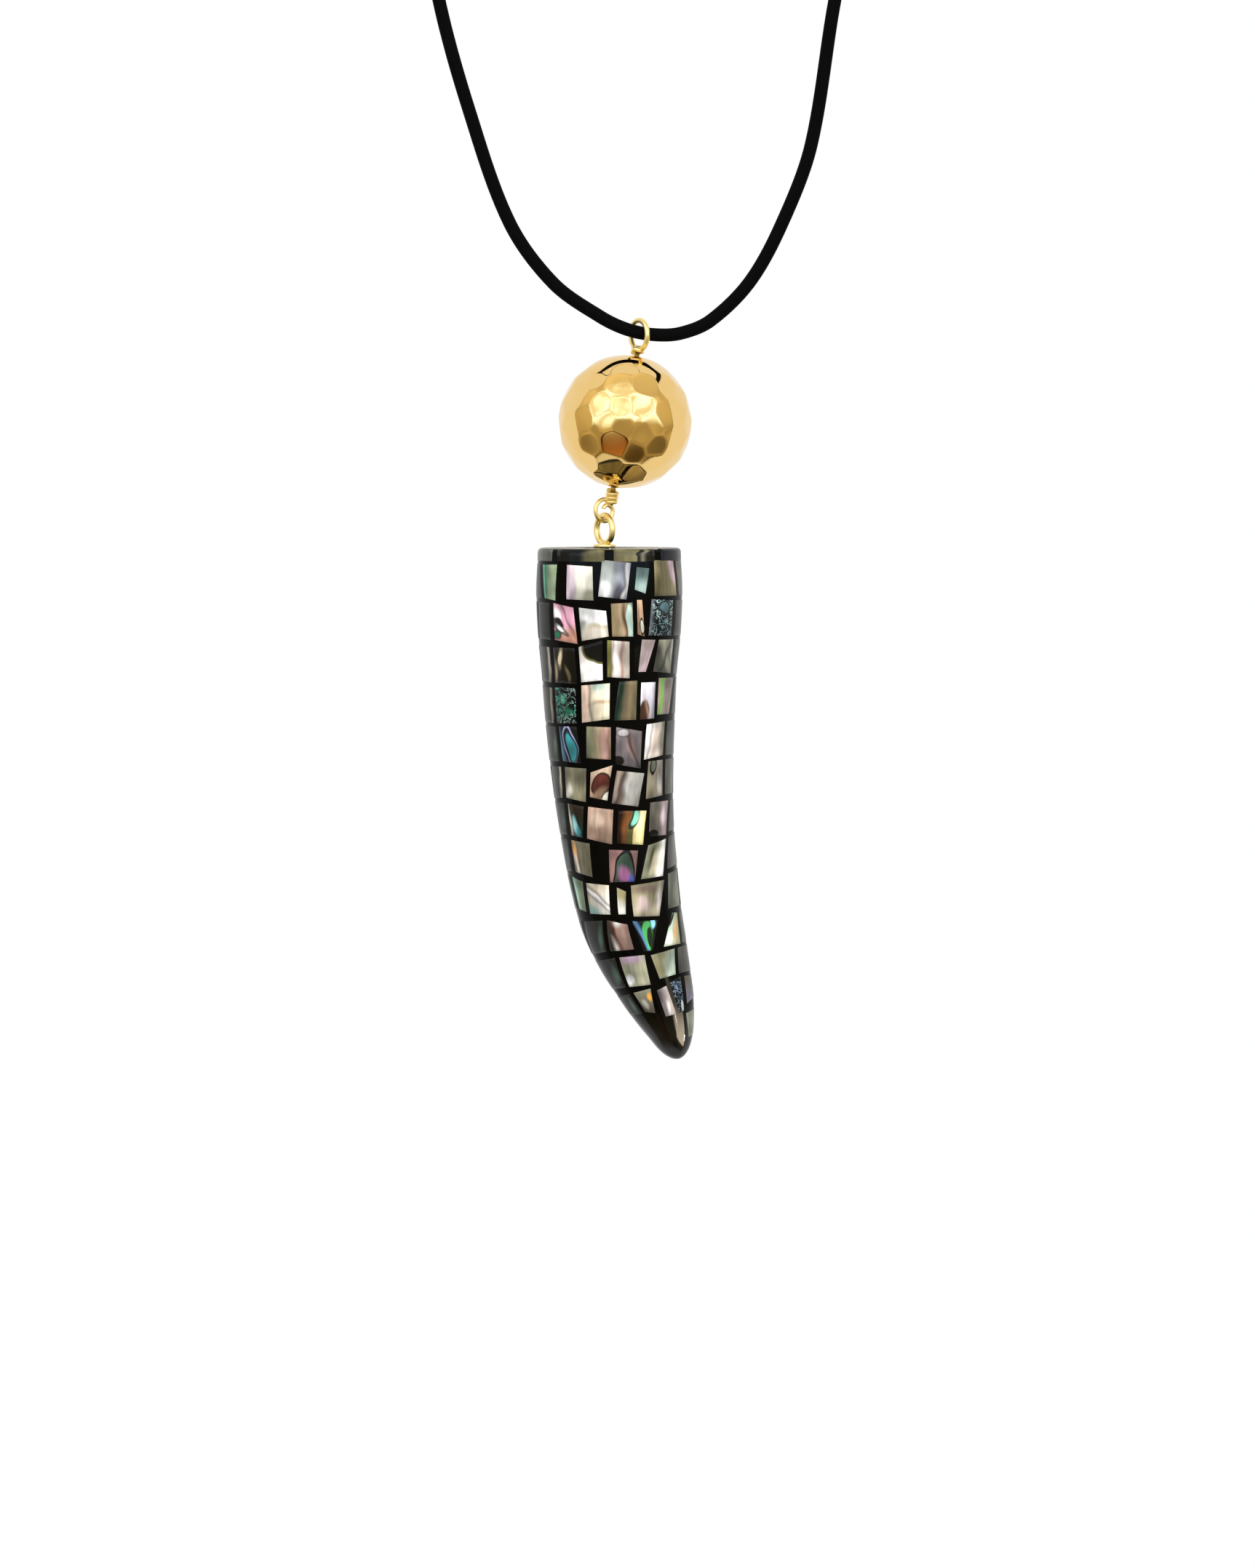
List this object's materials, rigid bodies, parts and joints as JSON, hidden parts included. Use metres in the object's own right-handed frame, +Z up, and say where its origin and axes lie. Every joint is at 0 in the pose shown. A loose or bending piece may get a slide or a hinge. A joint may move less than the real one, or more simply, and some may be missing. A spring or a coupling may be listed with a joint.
{
  "type": "cord necklace with a horn pendant",
  "caption": "Long round cord necklace with a hammered gold bead and, below it, a curved black horn pendant covered in shell mosaic.",
  "frame": {"origin": "middle of the barrel clasp, where the necklace rests on the nape", "axes": "+Z up, +X to the right in the front view, +Y from the pendant towards the nape's side"},
  "size_m": [0.122, 0.1327, 0.341],
  "materials": {
    "cord_black": "waxed black cord with a fine braid",
    "gold": "polished warm gold plating",
    "resin_black": "polished black resin",
    "shell": "polished abalone shell, grey and cream with green, pink and blue figure",
    "shell_grey": "polished dark grey shell"
  },
  "bodies": {
    "necklace": {"neck_cord": "cord_black", "clasp": "gold"},
    "bead_drop": {"bead_wire": "gold", "hammered_bead": "gold"},
    "horn_drop": {"horn_eye": "gold", "horn_body": "resin_black", "shell_tiles": "shell", "crown_tiles": "shell_grey"}
  },
  "joints": [
    {"name": "bail_swing", "type": "hinge", "parent": "necklace", "child": "bead_drop", "pos_m": [0, -0.12, -0.23], "axis": [0.9806, 0, -0.1961], "range_deg": [-75, 75]},
    {"name": "horn_swing", "type": "hinge", "parent": "bead_drop", "child": "horn_drop", "pos_m": [-0.00532, -0.12058, -0.25821], "axis": [0.829, 0.5592, 0], "range_deg": [-60, 60]}
  ]
}
